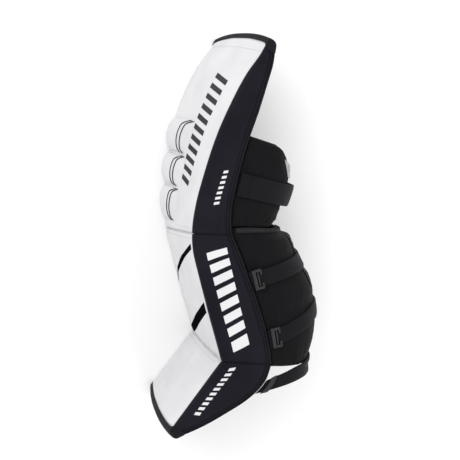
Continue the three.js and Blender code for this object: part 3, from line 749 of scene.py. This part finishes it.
def thigh_deep(station, across):
    """Deepness of the thigh's face with the knee rolls on it."""
    deep = face_deep("thigh", station, across)
    for _, low, high, height in KNEE_ROLLS:
        on_roll = (station > low) & (station < high) & (across > ROLL_START)
        over = -face_swell(across) - SEAT - roll_rise(low, high, height, station, across)
        deep = np.where(on_roll, np.minimum(deep, over), deep)
    return deep


def make_piping():
    """Two dark cords over each knee roll, hooking out along the roll's upper seam."""
    parts = []
    for _, low, high, height in KNEE_ROLLS:
        for across, hook in PIPING:
            share = np.linspace(0.015, 0.985, 48)
            station = low + (high - low) * share
            at = across - hook * np.clip((share - 0.78) / 0.22, 0, 1) ** 2
            at = at - 0.3 * hook * np.clip(1 - share / 0.12, 0, 1) ** 2
            rise = roll_rise(low, high, height, station, at)
            path = face_point(station, at, -face_swell(at) - SEAT - rise - PIPING_RADIUS * 0.3)
            parts.append(tube(path, PIPING_RADIUS, 8))
    piece("knee_roll_piping", join(parts), MATERIAL["piping"])


def patch(corners, surface, steps=(24, 14)):
    """Thin closed body laid on a surface, over four corners in the surface's own two coordinates."""
    u, v = np.meshgrid(np.linspace(0, 1, steps[0]), np.linspace(0, 1, steps[1]), indexing="ij")
    weights = np.stack([(1 - u) * (1 - v), u * (1 - v), u * v, (1 - u) * v], -1)
    first, second = np.moveaxis(weights @ np.asarray(corners, float), -1, 0)
    return closed_grid(surface(first, second, PATCH_LIFT), surface(first, second, -PATCH_SINK))


def on_face(span):
    """Points above a span's face, from a station and across."""
    def surface(station, across, lift):
        deep = thigh_deep(station, across) if span == "thigh" else face_deep(span, station, across)
        return face_point(station, across, deep - lift)
    return surface


def on_wall(side, span):
    """Points above a side wall, from a station and a depth."""
    def surface(station, deep, lift):
        return face_point(station, mirrored(side, wall_inset(span, station, deep) - lift), deep)
    return surface


def bars(surface, count, starts, ends, width, slant):
    """Row of slanted bars between two lines. A line is a pair of points in the surface's coordinates."""
    parts = []
    for i in range(count):
        share = (i + 0.5) / count
        (a, near), (b, far) = lerp(starts[0], starts[1], share), lerp(ends[0], ends[1], share)
        half = width / 2
        corners = [(a - half, near), (a + half, near), (b + half + slant, far), (b - half + slant, far)]
        parts.append(patch(corners, surface, (6, 26)))
    return parts


def make_folds():
    """Folds of the cover that close the two creases, white in front and black at the sides."""
    for name, station in (("knee", KNEE_STATION), ("boot", 0.0)):
        across = np.linspace(SIDE_WALL, PAD_WIDTH - SIDE_WALL, 40)[:, None]
        deep = np.array([FOLD_DEEP, FOLD_DEEP + 0.004])[None, :] - face_swell(across)
        half = CREASE * 0.48
        grids = [pad_point(fold_station(station, across, side * half), across, deep) for side in (-1, 1)]
        piece(f"{name}_crease_fold", closed_grid(*grids), MATERIAL["white"])
        parts = []
        for side in SIDES:
            across = mirrored(side, np.array([SIDE_FOLD, SIDE_WALL - GAP]))[None, :]
            deep = np.linspace(FOLD_DEEP, float(depth_at(station)) - 0.0015, 20)[:, None]
            grids = [pad_point(fold_station(station, across, turn * half), across, deep) for turn in (-1, 1)]
            parts.append(closed_grid(*grids))
        piece(f"{name}_side_folds", join(parts), MATERIAL["side"])


def fold_station(station, across, offset):
    """Station of a point in a crease, at an offset along the pad from its middle."""
    middle = skewed(station, across) if station > 0 else station + 0 * across
    return middle + (offset / LEG_RISE if station > 0 else station_at(offset))


def make_markings():
    """Plain stripes and bars, in thin leather sewn flat on the cover."""
    shin = on_face("shin")
    piece("shin_stripes", join([patch(corners, shin) for corners in SHIN_STRIPES]),
          MATERIAL["print_black"], sharp=30)
    piece("thigh_bars", join(bars(on_face("thigh"), *THIGH_BARS)), MATERIAL["print_dark"],
          sharp=30)
    for name, span, row in WALL_BARS:
        piece(name, join(bars(on_wall("outer", span), *row)), MATERIAL["print_white"], sharp=30)


def wing(name, rows, way, node, material="liner", thickness=WING, shift=0.0):
    """Padded wing with a thin edge all round, over a grid of stations and ways."""
    flat = wrap_point(rows, way, shift)
    along = np.zeros(way.shape)
    along[:, 1:] = np.cumsum(np.linalg.norm(np.diff(flat, axis=1), axis=-1), axis=1)
    upward = np.zeros(way.shape)
    upward[1:] = np.cumsum(np.linalg.norm(np.diff(flat, axis=0), axis=-1), axis=0)
    edge = np.minimum(np.minimum(along, along[:, -1:] - along), np.minimum(upward, upward[-1:] - upward))
    thin = rolled(edge, WING_ROLL)
    waves = 0.0005 * np.sin(rows * 55 + way * 9) * np.sin(way * 21 - rows * 23)
    free = free_of_straps(rows, way)
    swell = PUFF * free * np.clip(edge / PUFF_EDGE, 0, 1) ** 0.7 if thickness == WING else 0.0
    creased = 0.0005 * np.sin(way * 62 + rows * 19) * np.sin(way * 27 - rows * 43) * free * (1 - free) * 4
    out = -0.0002 - np.minimum(thin, thickness * 0.42) - np.abs(waves) + swell + creased
    inner = -thickness + np.minimum(thin, thickness * 0.42)
    outside, inside = wrap_point(rows, way, shift + out), wrap_point(rows, way, shift + inner)
    return piece(name, closed_grid(outside, inside), MATERIAL[material], [node], sharp=70)


def free_of_straps(station, way):
    """How freely a wing swells: from 0 under its straps, hem and band to 1 between them."""
    free = np.ones(np.broadcast(station, way).shape)
    lines = [(heel_station(way), WEBBING / 2), (knee_strap_station(way), KNEE_STRAP["width"] / 2)]
    for _, near, far, buckle_way, _ in CALF_STRAPS:
        slope = np.clip((way - buckle_way) / STRAP_SLOPE_END, 0, 1)
        lines.append((lerp(near, far, slope), np.where(way < BUCKLE_WAYS, BUCKLE[1], WEBBING) / 2))
    lines.append((CALF_TOP + calf_rise(CALF_TOP, way), HEM_HEIGHT))
    for line, half in lines:
        away = np.maximum(np.abs(station - line) * LEG_RISE - half, 0)
        free = free * (1 - np.exp(-(away / HOLD) ** 2))
    b = BACK_BAND
    beside = np.maximum(np.maximum(b["start"] - way, way - b["end"]), 0) * WAY_LENGTH
    beyond = np.maximum(np.maximum(b["bottom"] - station, station - b["top"]), 0) * LEG_RISE
    return free * (1 - np.exp(-(beside ** 2 + beyond ** 2) / HOLD ** 2))


def backed(way):
    """Share of the way from either edge of the pad to the middle of the back."""
    return 1 - np.abs(way - 1)


def knee_strap_station(way):
    return KNEE_STRAP["station"] + KNEE_STRAP["rise"] * backed(way)


def way_rows(stations, low, high, count):
    """Rows of ways between two limits, which may be numbers or one value for each station."""
    share = soft_steps(count, 0.05, 1.0)[None, :]
    low = np.broadcast_to(np.asarray(low, float), stations.shape)[:, None]
    high = np.broadcast_to(np.asarray(high, float), stations.shape)[:, None]
    return low + (high - low) * share


def strap_grid(ways, station_of, width, out, rows=9):
    """Grid of points of a flat strap round the leg space."""
    middle = station_of(ways)
    middle = middle * np.where(middle > 0, LEG_RISE, BOOT_FACE)
    step = 0.004 * LEG_RISE
    stretch = np.linalg.norm(wrap_point(station_at(middle + step), ways, 0)
                             - wrap_point(station_at(middle - step), ways, 0), axis=-1)
    half = width * step / stretch
    length = middle[:, None] + half[:, None] * np.linspace(-1, 1, rows)[None, :]
    return wrap_point(station_at(length), ways[:, None], out)


def station_at(length):
    """Station at a length from the boot crease along the face."""
    return length / np.where(length > 0, LEG_RISE, BOOT_FACE)


def make_strap(name, ways, station_of, width, under, thick, node, material="webbing",
               raised=lambda way: 0 * way):
    """Flat webbing with softly rounded edges."""
    rows = 11
    under = under + raised(ways)[:, None]
    inside = strap_grid(ways, station_of, width, under, rows)
    edge = np.abs(np.linspace(-1, 1, rows))[None, :]
    lip = thick * 0.35 * np.clip((edge - 0.8) / 0.2, 0, 1) ** 2
    outside = strap_grid(ways, station_of, width, under + thick - lip, rows)
    return piece(name, closed_grid(outside, inside), MATERIAL[material], [node] if node else [],
                 sharp=50)


def wing_frame(station, way, out):
    """Point on a wing with its directions: round the leg, up the pad and outwards."""
    step = 0.004
    middle = wrap_point(station, way, out)
    along = unit(wrap_point(station, way + step, out) - wrap_point(station, way - step, out))
    upward = unit(wrap_point(station + step, way, out) - middle)
    normal = unit(np.cross(along, upward))
    if np.dot(normal, wrap_point(station, way, out + 0.001) - middle) < 0:
        normal = -normal
    across = np.cross(normal, along)
    return middle, along, across, normal


def rounded_bar(length, width, height, radius):
    """Vertices, faces and UVs of a bar with rounded edges, at the origin."""
    work = bmesh.new()
    bmesh.ops.create_cube(work, size=1)
    bmesh.ops.scale(work, vec=(length, width, height), verts=work.verts)
    bmesh.ops.bevel(work, geom=list(work.edges), offset=radius, segments=3, profile=0.5, affect="EDGES")
    verts = np.array([v.co[:] for v in work.verts])
    work.verts.index_update()
    faces = [tuple(v.index for v in f.verts) for f in work.faces]
    work.free()
    return verts, faces, verts[:, :2].copy()


def placed(body, origin, axes, offset):
    verts, faces, uv = body
    turn = np.stack(axes)
    return (verts + np.asarray(offset)) @ turn + origin, faces, uv


def make_buckle(name, station, way, out, node):
    """Buckle: a moulded plate with two arms that hook round the strap, and a bar between them."""
    middle, along, across, normal = wing_frame(station, way, out)
    axes = (along, across, normal)
    parts = []
    length, width, wire, thick = BUCKLE
    plate, hook = 0.38 * length, wire * 0.8
    shapes = [((plate, width, thick), (-(length - plate) / 2, 0, thick / 2)),
              ((wire * 0.6, width - 2 * wire, thick * 0.6), (0.08 * length, 0, thick * 0.35))]
    for end in (-1, 1):
        arm = (0.25 * plate, end * (width - wire) / 2, thick / 2)
        shapes.append(((length - 0.5 * plate, wire, thick), arm))
        shapes.append(((hook, width * 0.30, thick), ((length - hook) / 2, end * width * 0.35, thick / 2)))
    for size, offset in shapes:
        parts.append(placed(rounded_bar(*size, min(size) * 0.28), middle, axes, offset))
    piece(name, join(parts), MATERIAL["plastic"], [node], sharp=35)


def stitches(points, normals, length=0.0028, gap=0.0014, radius=STITCH_RADIUS):
    """Row of raised stitches along a line of points lying on a surface."""
    run = lengths(points)
    parts = []
    start = gap
    while start + length < run[-1]:
        at = start + length * np.array([0, 0.2, 0.5, 0.8, 1.0])
        path = np.stack([np.interp(at, run, points[:, k]) for k in range(3)], -1)
        out = unit(np.stack([np.interp(at, run, normals[:, k]) for k in range(3)], -1))
        lift = radius * np.array([-0.4, 0.55, 0.75, 0.55, -0.4])
        parts.append(tube(path + out * lift[:, None], radius * np.array([0.55, 1, 1, 1, 0.55]), 5, up=out))
        start += length + gap
    return parts


def lerp(a, b, t):
    return a + (b - a) * t


def make_pad():
    for span, rows in (("thigh", 90), ("shin", 64), ("boot", 44)):
        make_panel(span, rows)
        make_liner(span, rows // 2)
        for side in SIDES:
            make_side(side, span, rows)
            make_binding(side, span, rows)
    make_end_tape(THIGH_END, "thigh_end_tape")
    make_end_tape(TOE_END, "toe_end_tape")
    for roll in KNEE_ROLLS:
        make_roll(*roll)
    make_piping()
    make_folds()
    make_markings()


def calf_rise(station, way):
    """How much higher the calf wing's top edge lies away from the pad."""
    near = np.clip(backed(way) / CALF_TOP_FADE, 0, 1)
    share = np.clip((station - CALF_TOP_FROM) / (CALF_TOP - CALF_TOP_FROM), 0, 1)
    return CALF_TOP_RISE * (1 - (1 - near) ** 2) * share


def make_wings():
    calf = CALF_BOTTOM + (CALF_TOP - CALF_BOTTOM) * soft_steps(60, 0.03, 1.0)
    lift = CALF_LIFT * np.clip(1 - (calf - CALF_BOTTOM) / 0.03, 0, 1)

    def lifted(ways):
        return calf[:, None] + lift[:, None] * backed(ways) + calf_rise(calf[:, None], ways)

    for side in SIDES:
        low, high = (0, CALF_EDGE) if side == "outer" else (2 - CALF_EDGE, 2)
        ways = way_rows(calf, low, high, 60)
        wing(f"{side}_calf_guard", lifted(ways), ways, f"{side}_calf_wing")
    knee = np.linspace(0.440, 0.745, 60)
    ways = way_rows(knee, 0, smooth(KNEE_WING_EDGE, 1, knee) * KNEE_WING_FULL, 50)
    wing("outer_knee_guard", knee[:, None] + KNEE_WING_RISE * backed(ways), ways, "outer_knee_wing")
    inner = np.linspace(INNER_KNEE_BOTTOM, INNER_KNEE_TOP, 50)
    ways = way_rows(inner, INNER_KNEE_EDGE, 2, 60)
    rows = inner[:, None] + KNEE_WING_RISE * backed(ways)
    wing("inner_knee_guard", rows, ways, "inner_knee_wing")
    ways = way_rows(inner, INNER_LINING_FROM, INNER_LINING_TO, 60)
    rows = inner[:, None] + KNEE_WING_RISE * backed(ways)
    wing("knee_guard_lining", rows, ways, "inner_knee_lining", material="fleece", shift=-WING - SEAT,
         thickness=LINING)


def make_rim_lining():
    """Edge of the brushed lining that shows past the outer knee wing's rim."""
    def surface(station, way, lift):
        return wrap_point(station, way, RIM_LINING_OUT + lift)

    piece("knee_guard_rim_lining", patch(RIM_LINING, surface, (16, 12)), MATERIAL["fleece"],
          sharp=60)


def make_stitching():
    """Stitches under the thigh end, beside the creases and in front of the edge bindings."""
    parts = []
    across = np.linspace(0.010, PAD_WIDTH - 0.008, 120)
    rows = (("thigh", TOP_SEAM - 0.006), ("thigh", KNEE_STATION + SEAM_INSET),
            ("shin", KNEE_STATION - SEAM_INSET), ("shin", SEAM_INSET), ("boot", -0.060))
    for span, station in rows:
        reach = across[across < ROLL_START] if span == "thigh" and station < 0.5 else across
        points, above = [on_face(span)(station, reach, lift) for lift in (0.0, 0.001)]
        parts += stitches(points, unit(above - points))
    piece("face_stitching", join(parts), MATERIAL["white_thread"], sharp=80)
    parts = []
    for side in SIDES:
        for span in SPANS:
            station = span_stations(span, 120)[4:-4]
            deep = wall_depth(station) - GROOVE - 0.0025
            points, above = [on_wall(side, span)(station, deep, lift) for lift in (0.0, 0.001)]
            parts += stitches(points, unit(above - points))
    piece("wall_stitching", join(parts), MATERIAL["thread"], sharp=80)


def make_straps():
    k = KNEE_STRAP
    make_strap("knee_webbing", np.linspace(k["start"], k["end"], 120), knee_strap_station, k["width"],
               k["under"], k["thick"], "knee_strap")
    make_strap("knee_webbing_fold", np.linspace(k["start"] + 0.004, k["start"] + 0.088, 12),
               knee_strap_station, k["width"] + 0.0006, k["under"] + k["thick"] + 0.0002, 0.0013, None)
    for name, station, far_station, buckle_way, over in CALF_STRAPS:
        under = SEAT + over

        def strap_station(way):
            return lerp(station, far_station, np.minimum((way - buckle_way) / STRAP_SLOPE_END, 1))

        make_strap(f"{name}_calf_patch", np.linspace(STRAP_EDGE, buckle_way - BUCKLE_SPLIT, 12),
                   lambda way: station + 0 * way, TAB, under, TAB_THICK, f"{name}_calf_tab", "side")
        make_strap(f"{name}_calf_webbing", np.linspace(buckle_way + BUCKLE_SPLIT, STRAP_FAR_END, 120),
                   strap_station, WEBBING, under, WEBBING_THICK, f"{name}_calf_strap")
        out = under + WEBBING_THICK + SEAT
        make_buckle(f"{name}_calf_buckle", station, buckle_way, out, f"{name}_buckle")
    h = HEEL_STRAP
    make_strap("heel_webbing", np.linspace(STRAP_EDGE, 2 - STRAP_EDGE, 140), heel_station, WEBBING, SEAT,
               WEBBING_THICK, "heel_strap", raised=heel_raised)
    make_strap("heel_keeper", np.linspace(h["keeper_start"], h["keeper_end"], 10), heel_station,
               KEEPER_WIDTH, 2 * SEAT + WEBBING_THICK, KEEPER_THICK, "heel_strap_keeper", "plastic",
               raised=heel_raised)


def heel_station(way):
    return lerp(HEEL_STRAP["rear"], HEEL_STRAP["start"], np.abs(way - 1) ** HEEL_STRAP["bend"])


def heel_raised(way):
    """How far the heel strap stands off, where it crosses the bottom of the calf wings."""
    return HEEL_STRAP["clear"] * (1 - np.abs(way - 1) ** HEEL_STRAP["bend"])


def make_trim():
    """Ribbed elastic hem on the calf wing and the band down its back."""
    low = CALF_TOP - HEM_HEIGHT / LEG_RISE
    stations = np.linspace(low, CALF_TOP, 9)[:, None]
    ways = np.linspace(HEM_FROM, HEM_TO, 160)[None, :]
    rows = stations + calf_rise(stations, ways)
    bulge = HEM_THICK * (0.75 + 0.25 * np.sin(math.pi * (stations - low) / (CALF_TOP - low)))
    ribs = HEM_RIB * np.sin(2 * math.pi * lengths(wrap_point(low, ways[0], 0)) / HEM_PITCH)[None, :]
    outside = wrap_point(rows, ways, SEAT + bulge + ribs)
    inside = wrap_point(rows, ways, SEAT)
    hem = closed_grid(outside, inside)
    piece("calf_hem", hem, MATERIAL["elastic"], ["calf_wing_hem"], sharp=60)
    b = BACK_BAND
    stations = np.linspace(b["bottom"], b["top"], 60)[:, None]
    ways = np.linspace(b["start"], b["end"], 9)[None, :]
    band = closed_grid(wrap_point(stations, ways, SEAT + BAND_THICK), wrap_point(stations, ways, SEAT))
    piece("calf_band", band, MATERIAL["webbing"], ["calf_back_band"], sharp=60)


make_pad()
make_stitching()
make_wings()
make_rim_lining()
make_trim()
make_straps()


LENS_MM = 84.6
SENSOR_MM = 36.0
CAMERA_AZIMUTH = 11.8       # degrees that the camera stands towards the face from straight above
CAMERA_PITCH = 7.0          # degrees that it stands towards the thigh end
CAMERA_DISTANCE = 1.6
CAMERA_TARGET = Vector((-0.029056, 0.00965, 0.229))


def camera_back():
    """Unit vector from the target to the camera."""
    a, e = math.radians(CAMERA_AZIMUTH), math.radians(CAMERA_PITCH)
    return Vector((-math.sin(a) * math.cos(e), math.sin(e), math.cos(a) * math.cos(e)))


def make_camera():
    data = bpy.data.cameras.new("camera")
    data.lens = LENS_MM
    data.sensor_width = SENSOR_MM
    data.clip_start, data.clip_end = 0.05, 20
    camera = bpy.data.objects.new("camera", data)
    bpy.context.scene.collection.objects.link(camera)
    back = camera_back()
    up = Vector((0, 1, 0))
    up = (up - back * up.dot(back)).normalized()
    right = up.cross(back)
    turn = Matrix((right, up, back)).transposed().to_4x4()
    camera.matrix_world = Matrix.Translation(CAMERA_TARGET + back * CAMERA_DISTANCE) @ turn
    bpy.context.scene.camera = camera


def area_light(name, place, size, power, aim=(0, 0, 0.1)):
    data = bpy.data.lights.new(name, "AREA")
    data.shape = "RECTANGLE"
    data.size, data.size_y = size
    data.energy = power
    light = bpy.data.objects.new(name, data)
    bpy.context.scene.collection.objects.link(light)
    light.location = place
    light.rotation_euler = (Vector(aim) - Vector(place)).to_track_quat("-Z", "Y").to_euler()


def make_studio():
    world = bpy.data.worlds.new("studio")
    bpy.context.scene.world = world
    world.use_nodes = True
    world.node_tree.nodes["Background"].inputs["Color"].default_value = (1, 1, 1, 1)
    world.node_tree.nodes["Background"].inputs["Strength"].default_value = 0.92
    area_light("key", (-0.9, 1.1, 1.7), (1.4, 1.2), 14)
    area_light("fill", (1.4, 0.2, 1.3), (1.6, 1.6), 7)
    area_light("rim", (0.6, -1.5, 0.8), (1.0, 0.6), 4)

    floor_mesh = bpy.data.meshes.new("floor")
    half = 4.0
    corners = [(-half, -half, 0), (half, -half, 0), (half, half, 0), (-half, half, 0)]
    floor_mesh.from_pydata(corners, [], [(0, 1, 2, 3)])
    floor = bpy.data.objects.new("floor", floor_mesh)
    bpy.context.scene.collection.objects.link(floor)
    floor.data.materials.append(floor_material())


def floor_material():
    material = bpy.data.materials.new("floor")
    material.use_nodes = True
    shader = material.node_tree.nodes["Principled BSDF"]
    shader.inputs["Base Color"].default_value = (0.98, 0.98, 0.98, 1)
    shader.inputs["Roughness"].default_value = 0.8
    return material


bpy.context.scene.view_settings.view_transform = "Standard"
make_camera()
make_studio()
